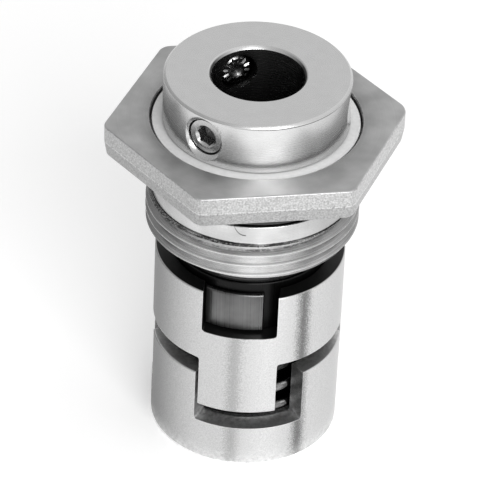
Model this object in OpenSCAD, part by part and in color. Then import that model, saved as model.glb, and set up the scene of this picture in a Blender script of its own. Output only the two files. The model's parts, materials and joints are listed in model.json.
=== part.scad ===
/* [Shaft sleeve and collar] */
// Diameter of the shaft that the seal slides onto
shaft_d = 12; // [11:0.5:12.5]
// Wall of the sleeve tube around the shaft
sleeve_wall = 1.5; // [1.2:0.1:1.6]
// Outside diameter of the collar on top
collar_d = 24.3; // [22:0.1:25]
// Height of the collar
collar_h = 7.1; // [6.8:0.1:10]
// Chamfer on the collar's top edge and at the mouth of the bore
collar_chamfer = 0.4; // [0.2:0.1:0.6]

/* [Set screws] */
// Thread diameter of the set screws
screw_d = 5; // [3:0.5:5]
// Length of a set screw
screw_len = 5; // [4:0.5:5]
// Key size of the hexagon socket
screw_key = 2.5; // [1.5:0.1:2.5]
// Depth of the screw axis below the top of the collar
screw_drop = 3.6; // [3.2:0.1:3.9]
// How far the screw's outer end lies below the collar's surface
screw_sunk = 0.8; // [0.4:0.1:1]
// Depth of the countersink around a screw
screw_sink = 0.6; // [0.3:0.1:0.8]
// Direction of the first screw, counted from the front
screw_turn = -33.5; // [-60:0.5:60]

/* [Carrier] */
// Size of the carrier's hexagon across its flats
hex_flats = 34.6; // [32:0.1:36]
// Height of the hexagon
hex_h = 4.4; // [3.5:0.1:6]
// How far the hexagon's corners are turned down from sharp
hex_corner_cut = 0.3; // [0.1:0.1:1]
// Depth below the top from which the hexagon's flats lean inwards
hex_crease = 2.35; // [1:0.05:3]
// How far a flat has leant in at the hexagon's foot
hex_draft = 0.3; // [0.1:0.05:0.6]
// Direction in which one flat of the hexagon faces, counted from the front
hex_turn = 10; // [-30:1:30]
// Outside diameter of the carrier's thread
thread_d = 28; // [27.4:0.2:30]
// Length of the thread
thread_h = 5.5; // [4:0.5:7]
// Diameter of the plain neck above the thread
neck_d = 26.6; // [26:0.2:27.2]
// Height of the plain neck
neck_h = 2.6; // [2:0.1:4]
// Height of the sealing groove between the neck and the hexagon
gasket_groove_h = 3.55; // [2.8:0.05:5]
// Thickness of the sealing ring in that groove
gasket_section = 2.6; // [2:0.1:2.7]
// Depth of the recess for the bearing ring in the top of the hexagon
recess_depth = 1.85; // [1.75:0.05:2.2]
// Diameter of the recess in the hexagon
recess_d = 27.5; // [26.6:0.1:29]

/* [Bearing ring] */
// Thickness of the bearing ring's flange
flange_t = 1.55; // [1.2:0.05:1.6]
// Diameter of the hub under the flange
hub_d = 20; // [18.4:0.2:20.4]
// Height of the hub
hub_h = 1.6; // [1:0.1:1.9]

/* [Stationary seat] */
// Depth of the cavity that holds the seat in the carrier
cavity_depth = 6.6; // [6:0.1:7.4]
// Wall of the seat ring around its hard face
seat_rim = 1.55; // [1.2:0.05:1.8]
// Height of the seat ring
seat_h = 6.5; // [6:0.1:7]
// Height of the hard face in the seat ring
seat_face_h = 3.8; // [3.2:0.1:4]
// How deep a hard face is let into its holder
seat_face_sunk = 1.8; // [1.2:0.1:2]
// Thickness of the sealing ring around the seat
seat_oring_section = 1.3; // [1.1:0.1:1.3]
// Diameter of the pins that stop the seat from turning
pin_d = 1.5; // [1:0.1:1.5]
// Length of a pin
pin_len = 3; // [2.6:0.1:3]

/* [Rotating seal ring] */
// Wall of the rotating ring around its hard face
ring_rim = 0.45; // [0.3:0.05:0.6]
// Height of the rotating ring's body
ring_h = 7.46; // [7:0.02:8]
// How far the lugs that are driven by the drive sleeve stand out
lug_stand = 0.75; // [0.5:0.05:1.5]
// Width of a lug
lug_w = 7.8; // [6:0.1:8]
// Height of a lug
lug_h = 5.75; // [5:0.05:6]
// Height of the rotating hard face
ring_face_h = 2.4; // [2:0.1:3]
// How deep the rotating hard face is let into its ring
ring_face_sunk = 1.1; // [0.8:0.1:1.2]
// Radial width of the rotating hard face
face_w = 1.6; // [1.3:0.05:1.9]
// Width of the raised nose that runs on the seat
nose_w = 0.9; // [0.7:0.1:1.1]
// Height of the raised nose
nose_h = 0.8; // [0.4:0.1:1]
// Thickness of the sealing ring between the rotating ring and the tube
head_oring_section = 1.66; // [1.5:0.02:1.76]
// Thickness of the washer under that sealing ring
washer_t = 1; // [0.6:0.1:1.4]

/* [Drive sleeve] */
// Wall of the drive sleeve
drive_wall = 2.2; // [1.9:0.05:2.2]
// Height of the drive sleeve without its tongues
drive_h = 11; // [10.4:0.1:12]
// Length of the tongues that hang from the drive sleeve
tongue_len = 7.75; // [6:0.05:8]
// Angle that a tongue covers
tongue_span = 48.4; // [30:0.2:60]
// Width of the slots in the top of the drive sleeve
slot_w = 9.9; // [9:0.1:11]
// Depth of those slots
slot_depth = 6.46; // [6.2:0.02:6.8]
// Thickness of the web inside the drive sleeve
web_t = 2.6; // [1.6:0.1:3]
// Direction of the first slot and tongue, counted from the front
drive_turn = -4.5; // [-30:0.5:30]
// Axial travel of the seal head
travel = 2.6; // [1:0.1:3]

/* [Spring cup] */
// How far the cup's outside lies inside the drive sleeve's
cup_step = 0.05; // [0:0.05:0.2]
// Wall of the spring cup
cup_wall = 2.5; // [2:0.05:2.55]
// Height of the spring cup
cup_h = 14; // [13:0.1:16]
// Angle that a notch in the cup's rim covers
notch_span = 69.4; // [64:0.2:76]
// Direction of the first notch, counted from the front
cup_turn = 3.7; // [-3:0.1:6]
// Height of the open foot under the cup's floor
foot_h = 3.2; // [3:0.1:3.6]
// Thickness of the cup's floor
floor_t = 2.2; // [1.6:0.1:2.4]
// Chamfer on the cup's bottom edge
cup_chamfer = 0.4; // [0.2:0.1:0.6]

/* [Coil spring] */
// Thickness of the spring wire
wire_d = 1.6; // [1.2:0.1:1.7]
// Number of turns from end to end
spring_turns = 4; // [3:0.5:4.5]
// Thickness of the washer on top of the spring
spring_washer_t = 0.8; // [0.5:0.1:1]

/* [Retaining ring] */
// Thickness of the retaining ring under the cup's floor
clip_t = 1; // [0.8:0.1:1.1]
// How deep its groove is cut into the tube
clip_groove = 0.4; // [0.3:0.05:0.5]
// Width of the retaining ring's band
clip_band = 1.7; // [1.2:0.1:1.8]
// Thickness of the sealing ring inside the tube
shaft_oring_section = 0.8; // [0.6:0.05:0.9]

/* [Fits] */
// Radial clearance of what turns or slides on the tube
running_gap = 0.06; // [0.02:0.01:0.1]
// Radial clearance around a screw or a pin in its hole
screw_gap = 0.05; // [0.02:0.01:0.1]
// Clearance between parts that only have to miss each other
free_gap = 0.1; // [0.05:0.01:0.2]
// Radial clearance between the tube and the hard faces around it
face_gap = 0.7; // [0.5:0.05:0.9]

/* [Hidden] */
$fn = 96;
cut = 0.5;

// Radii from the shaft outwards
bore_r = shaft_d / 2;
tube_r = bore_r + sleeve_wall;
collar_r = collar_d / 2;
face_inner_r = tube_r + face_gap;
ring_face_r = face_inner_r + face_w;
ring_r = ring_face_r + ring_rim;
lug_r = ring_r + lug_stand;
drive_inner_r = ring_r + free_gap;
drive_r = drive_inner_r + drive_wall;
cup_r = drive_r - cup_step;
cup_inner_r = cup_r - cup_wall;
seat_bore_r = face_inner_r + 2 * free_gap;
seat_face_r = ring_face_r + free_gap;
seat_r = seat_face_r + seat_rim;
cavity_r = seat_r + screw_gap;

// Heights above the surface that the cup stands on, from the bottom up
floor_z = foot_h;
spring_z = floor_z + floor_t;
drive_z = cup_h + travel + free_gap;
tongue_z = drive_z - tongue_len;
notch_z = tongue_z - travel - 1.5 * free_gap;
drive_top_z = drive_z + drive_h;
slot_z = drive_top_z - slot_depth;
web_z = slot_z - web_t;
ring_z = slot_z;
lug_z = slot_z + 3 * free_gap;
ring_top_z = ring_z + ring_h;
ring_face_z = ring_top_z - ring_face_sunk;
contact_z = ring_face_z + ring_face_h;
seat_z = contact_z + seat_face_h - seat_face_sunk;
seat_top_z = seat_z + seat_h;
carrier_z = seat_top_z - cavity_depth;
neck_z = carrier_z + thread_h;
gasket_z = neck_z + neck_h;
hex_z = gasket_z + gasket_groove_h;
hex_top_z = hex_z + hex_h;
flange_z = hex_top_z - recess_depth;
hub_z = flange_z - hub_h;
collar_z = flange_z + flange_t + free_gap / 2;
top_z = collar_z + collar_h;
screw_z = top_z - screw_drop;

// Places along the tube's lower end
clip_z = floor_z - clip_t;
tube_z = clip_z - 1.4;
shaft_oring_z = spring_z + 2;
pin_circle_r = (seat_bore_r + seat_r) / 2 - 2 * free_gap;
pin_z = seat_top_z - pin_len / 2 - free_gap;
spring_washer_z = web_z - spring_washer_t;
spring_r = (tube_r + cup_inner_r) / 2 + 0.05;

// A ring with a square section that stands on z = 0
module ring(outer_r, inner_r, h) {
    difference() {
        cylinder(r = outer_r, h = h);
        translate([0, 0, -cut])
            cylinder(r = inner_r, h = h + 2 * cut);
    }
}

// A disc with its upper and lower outer edges chamfered
module chamfered_disc(r, h, lower, upper) {
    rotate_extrude()
        polygon([
            [0, 0], [r - lower, 0], [r, lower],
            [r, h - upper], [r - upper, h], [0, h]
        ]);
}

// A round sealing ring whose middle plane is at z = 0
module oring(inner_r, section) {
    rotate_extrude()
        translate([inner_r + section / 2, 0])
            circle(d = section, $fn = 32);
}

// A sector of a ring, centred on the front
module sector(span, inner_r, outer_r, h) {
    rotate([0, 0, -90 - span / 2])
        rotate_extrude(angle = span)
            translate([inner_r, 0])
                square([outer_r - inner_r, h]);
}

// Three copies around the axis, the first one turned from the front
module three_around(turn) {
    for (i = [0:2])
        rotate([0, 0, turn + 120 * i])
            children();
}

// Tapped hole for a set screw, countersunk from the collar's surface
module screw_hole() {
    hole_r = screw_d / 2 + screw_gap;
    rotate([90, 0, 0]) {
        cylinder(r = hole_r, h = collar_r + cut);
        translate([0, 0, collar_r - screw_sink])
            cylinder(r1 = hole_r, r2 = hole_r + screw_sink + cut, h = screw_sink + cut);
    }
}

// The collar and the tube are turned from one bar
module shaft_sleeve() {
    color("gainsboro")
    difference() {
        union() {
            translate([0, 0, collar_z])
                chamfered_disc(collar_r, collar_h, 0.2, collar_chamfer);
            translate([0, 0, tube_z])
                cylinder(r = tube_r, h = collar_z - tube_z + cut);
        }
        translate([0, 0, tube_z - cut])
            cylinder(r = bore_r, h = top_z - tube_z + 2 * cut);
        translate([0, 0, top_z - collar_chamfer])
            cylinder(
                r1 = bore_r,
                r2 = bore_r + 2 * collar_chamfer,
                h = 2 * collar_chamfer
            );
        translate([0, 0, screw_z])
            three_around(screw_turn)
                screw_hole();
        translate([0, 0, clip_z])
            ring(tube_r + cut, tube_r - clip_groove, clip_t);
        translate([0, 0, shaft_oring_z - 0.7])
            cylinder(r = bore_r + shaft_oring_section, h = 1.4);
    }
}

// Cup-point set screw with a hexagon socket in its outer end
module set_screw(i) {
    outer_y = collar_r - screw_sunk;
    color("silver")
    translate([0, 0, screw_z])
        rotate([0, 0, screw_turn + 120 * i])
            translate([0, -outer_y + screw_len, 0])
                rotate([90, 0, 0])
                    difference() {
                        chamfered_disc(screw_d / 2, screw_len, 0.7, 0.4);
                        translate([0, 0, screw_len - screw_d / 2])
                            cylinder(d = screw_key / cos(30), h = screw_d, $fn = 6);
                        translate([0, 0, -cut])
                            cylinder(r1 = screw_d / 4 + cut, r2 = 0, h = screw_d / 4 + cut);
                    }
}

// Hexagon, sealing groove, neck and thread in one piece
module seal_carrier() {
    color("lightgray")
    difference() {
        union() {
            translate([0, 0, carrier_z])
                chamfered_disc(thread_d / 2, thread_h, 0.8, 0.6);
            translate([0, 0, carrier_z + 1])
                cylinder(r = neck_d / 2, h = gasket_z - carrier_z - 1);
            translate([0, 0, gasket_z - cut])
                cylinder(r = neck_d / 2 - 0.9 * gasket_section, h = gasket_groove_h + 2 * cut);
            hexagon();
        }
        translate([0, 0, carrier_z - cut])
            cylinder(r = cavity_r, h = cavity_depth + cut);
        translate([0, 0, carrier_z - cut])
            cylinder(r1 = cavity_r + 0.4 + cut, r2 = cavity_r, h = 0.4 + cut);
        translate([0, 0, seat_top_z - cut])
            cylinder(r = tube_r + 1.1, h = hub_z - seat_top_z + 2 * cut);
        translate([0, 0, hub_z])
            cylinder(r = hub_d / 2, h = hub_h + cut);
        translate([0, 0, flange_z])
            cylinder(r = recess_d / 2, h = recess_depth + cut);
        pin_pair(pin_d / 2, pin_len);
    }
}

// Leaning inwards below the crease as on a casting, its corners turned down to a round
module hexagon() {
    crease_h = hex_h - hex_crease;
    lean = atan(hex_draft / crease_h);
    translate([0, 0, hex_z])
        intersection() {
            rotate([0, 0, hex_turn])
                difference() {
                    cylinder(d = hex_flats / cos(30), h = hex_h, $fn = 6);
                    for (i = [0:5])
                        rotate([0, 0, 60 * i])
                            translate([0, -hex_flats / 2, crease_h])
                                rotate([-lean, 0, 0])
                                    translate([-hex_flats / 2, -5, -2 * crease_h])
                                        cube([hex_flats, 5, 2 * crease_h]);
                }
            chamfered_disc(hex_flats / 2 / cos(30) - hex_corner_cut, hex_h, 0.5, 0.2);
        }
}

// Sealing ring under the hexagon
module carrier_gasket() {
    color("dimgray")
    translate([0, 0, gasket_z + gasket_section / 2])
        oring(neck_d / 2 - 0.9 * gasket_section, gasket_section);
}

// White ring that centres the carrier on the tube
module bearing_ring() {
    color("white")
    difference() {
        union() {
            translate([0, 0, flange_z])
                cylinder(r = recess_d / 2 - 2.5 * free_gap, h = flange_t);
            translate([0, 0, hub_z])
                cylinder(r = hub_d / 2, h = hub_h + flange_t / 2);
        }
        translate([0, 0, hub_z - cut])
            cylinder(r = tube_r + running_gap, h = hub_h + flange_t + 2 * cut);
    }
}

// Two pins between the carrier and the seat ring, on opposite sides
module pin_pair(r, len) {
    for (side = [-1, 1])
        translate([side * pin_circle_r, 0, pin_z])
            cylinder(r = r, h = len, $fn = 32);
}

module seat_pins() {
    color("silver")
    pin_pair(pin_d / 2, pin_len);
}

// Stationary ring with a groove for its sealing ring
module seat_ring() {
    groove_h = seat_oring_section + 0.5;
    color("silver")
    difference() {
        translate([0, 0, seat_z])
            chamfered_disc(seat_r, seat_h, 0.3, 0.5);
        translate([0, 0, seat_z - cut])
            cylinder(r = seat_bore_r, h = seat_h + 2 * cut);
        translate([0, 0, seat_z - cut])
            cylinder(r = seat_face_r, h = seat_face_sunk + cut);
        translate([0, 0, seat_oring_mid() - groove_h / 2])
            ring(seat_r + cut, cavity_r - seat_oring_section, groove_h);
        pin_pair(pin_d / 2 + screw_gap, pin_len);
    }
}

function seat_oring_mid() = seat_z + seat_face_sunk + 1.6;

module seat_oring() {
    color("dimgray")
    translate([0, 0, seat_oring_mid()])
        oring(cavity_r - seat_oring_section, seat_oring_section);
}

// Hard ring that the rotating face runs on
module seat_face() {
    color("dimgray")
    translate([0, 0, contact_z])
        ring(seat_face_r, face_inner_r, seat_face_h);
}

// Rotating ring with three lugs that stand in the slots of the drive sleeve
module rotating_ring() {
    lug_left = -slot_w / 2 + free_gap;
    color("gray")
    difference() {
        union() {
            translate([0, 0, ring_z])
                chamfered_disc(ring_r, ring_h, 0.2, 0.3);
            intersection() {
                translate([0, 0, lug_z])
                    chamfered_disc(lug_r, lug_h, 0.2, 0.3);
                three_around(drive_turn)
                    translate([lug_left, -lug_r - cut, lug_z])
                        cube([lug_w, lug_r + cut, lug_h]);
            }
        }
        translate([0, 0, ring_z - cut])
            cylinder(r = tube_r + running_gap, h = ring_h + 2 * cut);
        translate([0, 0, ring_z - cut])
            cylinder(r = head_oring_r(), h = washer_t + 1.3 * head_oring_section + cut);
        translate([0, 0, ring_face_z])
            cylinder(r = ring_face_r, h = ring_face_sunk + cut);
    }
}

// Outer radius of the pocket for the sealing ring in the rotating ring
function head_oring_r() = tube_r + running_gap / 2 + head_oring_section;

module rotating_face() {
    base_h = ring_face_h - nose_h;
    nose_r = (ring_face_r + face_inner_r) / 2;
    color("dimgray")
    translate([0, 0, ring_face_z]) {
        ring(ring_face_r, face_inner_r, base_h);
        translate([0, 0, base_h / 2])
            ring(nose_r + nose_w / 2, nose_r - nose_w / 2, ring_face_h - base_h / 2);
    }
}

module head_oring() {
    color("dimgray")
    translate([0, 0, ring_z + washer_t + head_oring_section / 2])
        oring(tube_r + running_gap / 2, head_oring_section);
}

module backing_washer() {
    color("silver")
    translate([0, 0, ring_z])
        ring(head_oring_r() - free_gap / 2, tube_r + free_gap, washer_t);
}

// Slots above take the rotating ring's lugs, tongues below reach into the cup
module drive_sleeve() {
    color("gainsboro")
    difference() {
        union() {
            translate([0, 0, drive_z])
                chamfered_disc(drive_r, drive_h, 0.15, 0.25);
            three_around(drive_turn)
                translate([0, 0, tongue_z])
                    sector(tongue_span, drive_inner_r, drive_r, tongue_len + 1);
        }
        translate([0, 0, slot_z])
            cylinder(r = drive_inner_r, h = slot_depth + cut);
        translate([0, 0, tongue_z - cut])
            cylinder(r = drive_inner_r, h = web_z - tongue_z + cut);
        translate([0, 0, web_z - cut])
            cylinder(r = tube_r + running_gap, h = web_t + 2 * cut);
        three_around(drive_turn)
            translate([-slot_w / 2, -drive_r - cut, slot_z])
                cube([slot_w, drive_r + cut, slot_depth + cut]);
    }
}

module spring_washer() {
    color("silver")
    translate([0, 0, spring_washer_z])
        ring(drive_inner_r - 4.5 * free_gap, tube_r + 2 * free_gap, spring_washer_t);
}

// Height of the wire's middle after a share t of the turns: the ends lie flat
function wire_z(t) =
    let (low = spring_z + wire_d / 2)
    let (high = spring_washer_z - wire_d / 2)
    let (flat = 0.7 / spring_turns)
    let (rise = 0.5 * wire_d)
    t < flat ? low + rise * t / flat
    : t > 1 - flat ? high - rise * (1 - t) / flat
    : low + rise + (high - low - 2 * rise) * (t - flat) / (1 - 2 * flat);

// One swept tube with eight sides
module coil_spring() {
    steps = 24 * spring_turns;
    sides = 8;
    points = [
        for (i = [0:steps])
            for (k = [0:sides - 1])
                let (turn = 360 * spring_turns * i / steps - 250)
                let (r = spring_r + wire_d / 2 * cos(360 * k / sides))
                [r * cos(turn), r * sin(turn), wire_z(i / steps) + wire_d / 2 * sin(360 * k / sides)]
    ];
    walls = [
        for (i = [0:steps - 1])
            for (k = [0:sides - 1])
                let (a = i * sides + k)
                let (b = i * sides + (k + 1) % sides)
                [a, a + sides, b + sides, b]
    ];
    first = [for (k = [0:sides - 1]) k];
    last = [for (k = [sides - 1:-1:0]) steps * sides + k];
    color("silver")
    polyhedron(points = points, faces = concat([first, last], walls), convexity = 10);
}

// Cup with three notches for the tongues and a hollow foot
module spring_cup() {
    color("gainsboro")
    difference() {
        chamfered_disc(cup_r, cup_h, cup_chamfer, 0.2);
        translate([0, 0, spring_z])
            cylinder(r = cup_inner_r, h = cup_h);
        translate([0, 0, -cut])
            cylinder(r = tube_r, h = cup_h);
        translate([0, 0, -cut])
            cylinder(r = cup_inner_r, h = foot_h + cut);
        three_around(cup_turn)
            translate([0, 0, notch_z])
                sector(notch_span, cup_inner_r / 2, cup_r + cut, cup_h);
    }
}

// Open ring that snaps into the tube under the cup's floor
module retaining_ring() {
    inner_r = tube_r - clip_groove;
    band_r = inner_r + clip_band;
    ear_r = 1.1;
    ear_turn = 14;
    color("darkgray")
    translate([0, 0, clip_z])
        difference() {
            union() {
                rotate([0, 0, 180])
                    sector(360 - 2 * ear_turn, inner_r, band_r, clip_t);
                for (side = [-1, 1])
                    rotate([0, 0, side * ear_turn])
                        translate([0, -band_r + 0.4, 0])
                            cylinder(r = ear_r, h = clip_t, $fn = 32);
            }
            for (side = [-1, 1])
                rotate([0, 0, side * ear_turn])
                    translate([0, -band_r + 0.4, -cut])
                        cylinder(r = ear_r / 2, h = clip_t + 2 * cut, $fn = 32);
        }
}

// Drawn as it lies on the shaft, flush with the bore
module shaft_oring() {
    color("dimgray")
    translate([0, 0, shaft_oring_z])
        oring(bore_r, shaft_oring_section);
}

shaft_sleeve();
set_screw(0);  // set_screw_front
set_screw(1);  // set_screw_right
set_screw(2);  // set_screw_rear
seal_carrier();
carrier_gasket();
bearing_ring();
seat_ring();
seat_face();
seat_oring();
seat_pins();
rotating_ring();
rotating_face();
head_oring();
backing_washer();
drive_sleeve();
spring_washer();
coil_spring();
spring_cup();
retaining_ring();
shaft_oring();
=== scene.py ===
import json
from math import atan2, cos, degrees, hypot, pi, radians, sin

import bmesh
import bpy
from mathutils import Matrix, Vector


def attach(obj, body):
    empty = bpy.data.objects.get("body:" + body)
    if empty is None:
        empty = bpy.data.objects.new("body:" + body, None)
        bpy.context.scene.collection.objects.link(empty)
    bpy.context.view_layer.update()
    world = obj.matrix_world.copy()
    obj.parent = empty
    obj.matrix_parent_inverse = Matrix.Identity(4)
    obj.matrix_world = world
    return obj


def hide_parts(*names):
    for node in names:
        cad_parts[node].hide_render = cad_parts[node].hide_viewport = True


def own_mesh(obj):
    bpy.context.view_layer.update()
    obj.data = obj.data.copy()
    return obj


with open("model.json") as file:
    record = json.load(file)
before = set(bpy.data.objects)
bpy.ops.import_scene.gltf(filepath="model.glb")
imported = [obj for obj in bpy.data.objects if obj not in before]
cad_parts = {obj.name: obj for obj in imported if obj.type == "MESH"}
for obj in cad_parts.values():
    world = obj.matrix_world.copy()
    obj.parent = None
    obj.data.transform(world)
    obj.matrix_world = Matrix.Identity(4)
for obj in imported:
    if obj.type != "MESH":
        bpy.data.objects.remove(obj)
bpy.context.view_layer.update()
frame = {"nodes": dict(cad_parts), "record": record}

MM = 0.001
SCENE = bpy.context.scene

# Heights above the surface that the cup stands on, in mm
TUBE_Z = 0.8
CIRCLIP_Z = 2.2
FLOOR_Z = 3.2
SPRING_Z = 5.4
NOTCH_Z = 6.2
ORING_Z = 6.7
ORING_TOP_Z = 8.1
TONGUE_Z = 8.95
CUP_TOP_Z = 14.0
DRIVE_Z = 16.7
SPRING_TOP_Z = 17.84
WEB_Z = 18.64
SLOT_Z = 21.24
LUG_Z = 21.54
POCKET_Z = 24.398
LUG_TOP_Z = 27.29
RING_FACE_Z = 27.6
DRIVE_TOP_Z = 27.7
RING_TOP_Z = 28.7
CARRIER_Z = 31.9
THREAD_Z = 32.7
THREAD_TOP_Z = 36.75
NECK_Z = 37.4
SEAT_TOP_Z = 38.5
GASKET_Z = 40.0
HEX_Z = 43.55
HUB_Z = 44.5
FLANGE_Z = 46.1
FLANGE_TOP_Z = 47.65
COLLAR_Z = 47.7
HEX_TOP_Z = 47.95
SCREW_Z = 51.2
TOP_Z = 54.8

# Radii in mm
BORE_R = 6.0
TUBE_R = 7.5
RUNNING_R = TUBE_R + 0.06
HUB_R = 9.98
COLLAR_R = 12.15
CUP_R = 12.5
CUP_INNER_R = 10.0
DRIVE_R = 12.55
DRIVE_INNER_R = 10.35
RING_R = 10.25
LUG_R = 11.0
CAVITY_R = 11.5
FLANGE_R = 13.5
THREAD_R = 14.0
NECK_R = 13.3
GROOVE_R = 10.96
RECESS_R = 13.75
HEX_APOTHEM = 17.3
CUTTER_R = 14.0

# Turns around the axis in degrees, counted from the front
SCREW_TURN = -33.5
SCREW_STEP = 120
HEX_TURN = 10.0
DRIVE_TURN = -4.5
CUP_TURN = 3.7


def deselect():
    bpy.ops.object.select_all(action="DESELECT")


def pick(piece):
    deselect()
    piece.select_set(True)
    bpy.context.view_layer.objects.active = piece


def edit(piece):
    pick(piece)
    bpy.ops.object.mode_set(mode="EDIT")
    bpy.ops.mesh.select_mode(type="VERT")
    bpy.ops.mesh.select_all(action="DESELECT")


def extrude_by(way):
    """In edit mode: extrudes what is selected by this much, in metres."""
    bpy.ops.mesh.extrude_region_move(TRANSFORM_OT_translate={"value": way})


def leave_edit():
    bpy.ops.object.mode_set(mode="OBJECT")


def settle(piece):
    """Writes the piece's place into its mesh, so that its object sits at the origin."""
    pick(piece)
    bpy.ops.object.transform_apply(location=True, rotation=True, scale=True)


def select_edges(piece, wanted):
    """In edit mode: selects the edges for which wanted(middle, direction) holds, in mm."""
    bpy.ops.mesh.select_mode(type="EDGE")
    shape = bmesh.from_edit_mesh(piece.data)
    for edge in shape.edges:
        a, b = (v.co / MM for v in edge.verts)
        edge.select_set(bool(wanted((a + b) / 2, (b - a).normalized())))
    shape.select_flush_mode()
    bmesh.update_edit_mesh(piece.data)


def select_faces(piece, wanted):
    """In edit mode: selects the faces for which wanted(middle, normal) holds, in mm."""
    bpy.ops.mesh.select_mode(type="FACE")
    shape = bmesh.from_edit_mesh(piece.data)
    for face in shape.faces:
        face.select_set(bool(wanted(face.calc_center_median() / MM, face.normal)))
    shape.select_flush_mode()
    bmesh.update_edit_mesh(piece.data)


def modify(piece, kind, **settings):
    """Adds one modifier with these settings and applies it."""
    pick(piece)
    step = piece.modifiers.new(kind.lower(), kind)
    for key, value in settings.items():
        setattr(step, key, value)
    bpy.ops.object.modifier_apply(modifier=step.name)


def combine(piece, other, how):
    """Boolean of the piece with another, which is used up."""
    bpy.context.view_layer.update()
    modify(piece, "BOOLEAN", object=other, operation=how, solver="EXACT")
    bpy.data.objects.remove(other)


def soften(piece, width, segments=2, angle=42):
    """Rounds every edge sharper than the angle."""
    modify(
        piece,
        "BEVEL",
        width=width * MM,
        segments=segments,
        limit_method="ANGLE",
        angle_limit=radians(angle),
        use_clamp_overlap=True,
        miter_outer="MITER_ARC",
    )


def finish_shading(piece, angle=50):
    """Merges the doubles that booleans leave and shades smooth up to the angle."""
    edit(piece)
    bpy.ops.mesh.select_all(action="SELECT")
    bpy.ops.mesh.remove_doubles(threshold=2e-7)
    bpy.ops.mesh.dissolve_degenerate(threshold=2e-7)
    leave_edit()
    pick(piece)
    bpy.ops.object.shade_smooth_by_angle(angle=radians(angle))
    modify(piece, "WEIGHTED_NORMAL", keep_sharp=True, weight=50)


ARC_STEPS = 3


def rounded(outline):
    """An outline of (radius, height, rounding) points with arcs of these roundings at its corners."""
    points = []
    count = len(outline)
    for i, corner in enumerate(outline):
        here = Vector(corner[:2])
        size = corner[2] if len(corner) > 2 else 0
        if not size:
            points.append(here)
            continue
        before = (Vector(outline[i - 1][:2]) - here).normalized()
        after = (Vector(outline[(i + 1) % count][:2]) - here).normalized()
        half = before.angle(after) / 2
        middle = here + (before + after).normalized() * size / sin(half)
        first = here + before * size / (sin(half) / cos(half)) - middle
        last = here + after * size / (sin(half) / cos(half)) - middle
        sweep = first.angle(last)
        sign = 1 if first.x * last.y - first.y * last.x > 0 else -1
        for k in range(ARC_STEPS + 1):
            turn = sign * sweep * k / ARC_STEPS
            x = first.x * cos(turn) - first.y * sin(turn)
            y = first.x * sin(turn) + first.y * cos(turn)
            points.append(middle + Vector((x, y)))
    return points


def turned(name, outline, steps=192, span=360, start=0):
    """A closed outline of (radius, height) points in mm, drawn from one point and spun around the axis."""
    deselect()
    bpy.ops.mesh.primitive_plane_add(size=MM)
    piece = bpy.context.object
    piece.name = name
    edit(piece)
    bpy.ops.mesh.select_all(action="SELECT")
    bpy.ops.mesh.merge(type="CENTER")
    azimuth = radians(start - 90)
    path = [Vector((r * cos(azimuth), r * sin(azimuth), z)) * MM for r, z in rounded(outline)]
    bpy.ops.transform.translate(value=path[0])
    for here, there in zip(path, path[1:] + path[:1]):
        extrude_by(there - here)
    bpy.ops.mesh.select_all(action="SELECT")
    bpy.ops.mesh.remove_doubles(threshold=1e-7)
    if span < 360:
        bpy.ops.mesh.edge_face_add()
        bpy.ops.mesh.select_all(action="SELECT")
    bpy.ops.mesh.spin(steps=steps, angle=-radians(span), center=(0, 0, 0), axis=(0, 0, 1))
    bpy.ops.mesh.select_all(action="SELECT")
    bpy.ops.mesh.remove_doubles(threshold=1e-6)
    bpy.ops.mesh.delete_loose(use_verts=True, use_edges=True, use_faces=False)
    bpy.ops.mesh.select_all(action="SELECT")
    bpy.ops.mesh.normals_make_consistent(inside=False)
    leave_edit()
    return piece


def copies_around(piece, turn, count=3):
    """The piece turned from the front, with its copies around the axis, joined into one."""
    made = []
    for i in range(count):
        other = piece.copy()
        other.data = piece.data.copy()
        SCENE.collection.objects.link(other)
        other.data.transform(Matrix.Rotation(radians(turn + 360 / count * i), 4, "Z"))
        made.append(other)
    bpy.data.objects.remove(piece)
    deselect()
    for other in made:
        other.select_set(True)
    bpy.context.view_layer.objects.active = made[0]
    bpy.ops.object.join()
    return bpy.context.object


def block(name, low, high):
    """A box between two corners in mm."""
    deselect()
    middle = [(a + b) / 2 * MM for a, b in zip(low, high)]
    bpy.ops.mesh.primitive_cube_add(size=1, location=middle)
    piece = bpy.context.object
    piece.name = name
    piece.scale = [(b - a) * MM for a, b in zip(low, high)]
    settle(piece)
    piece.data.update()
    return piece


def bevel_selected(size, segments):
    """In edit mode: bevels the selected edges by a size in mm."""
    bpy.ops.mesh.bevel(offset=size * MM, segments=segments, affect="EDGES", clamp_overlap=False)


def round_edges(piece, wanted, size):
    """Rounds the edges for which wanted(middle, direction) holds."""
    edit(piece)
    select_edges(piece, wanted)
    bevel_selected(size, 4)
    leave_edit()


def azimuth_of(spot):
    """Degrees around the axis, 0 at the front and growing to the right."""
    return degrees(atan2(spot.x, -spot.y))


def sector_cutter(name, span, low_z, high_z, corner, corner_z, inner_r):
    """A sector of a ring, centred on the front, with rounded corners at the height corner_z."""
    piece = turned(
        name,
        [(inner_r, low_z), (CUTTER_R, low_z), (CUTTER_R, high_z), (inner_r, high_z)],
        steps=max(6, int(span / 4)),
        span=span,
        start=-span / 2,
    )

    def is_corner(middle, along):
        flat = abs(along.z) < 0.01
        radial = abs(along.x * middle.x + along.y * middle.y) > 0.9 * hypot(middle.x, middle.y)
        at_side = abs(abs(azimuth_of(middle)) - span / 2) < 0.2
        return flat and radial and at_side and abs(middle.z - corner_z) < 0.01

    round_edges(piece, is_corner, corner)
    return piece


# Screw holes and grooves of the sleeve, in mm; a hole's drill starts at SCREW_HOLE_Y
SCREW_HOLE_R = 2.55
SCREW_HOLE_Y = -14.5
CHAMFER = 0.6
CHAMFER_FLARE = 1.6
CIRCLIP_DEPTH = 0.4
ORING_DEPTH = 0.8


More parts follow.
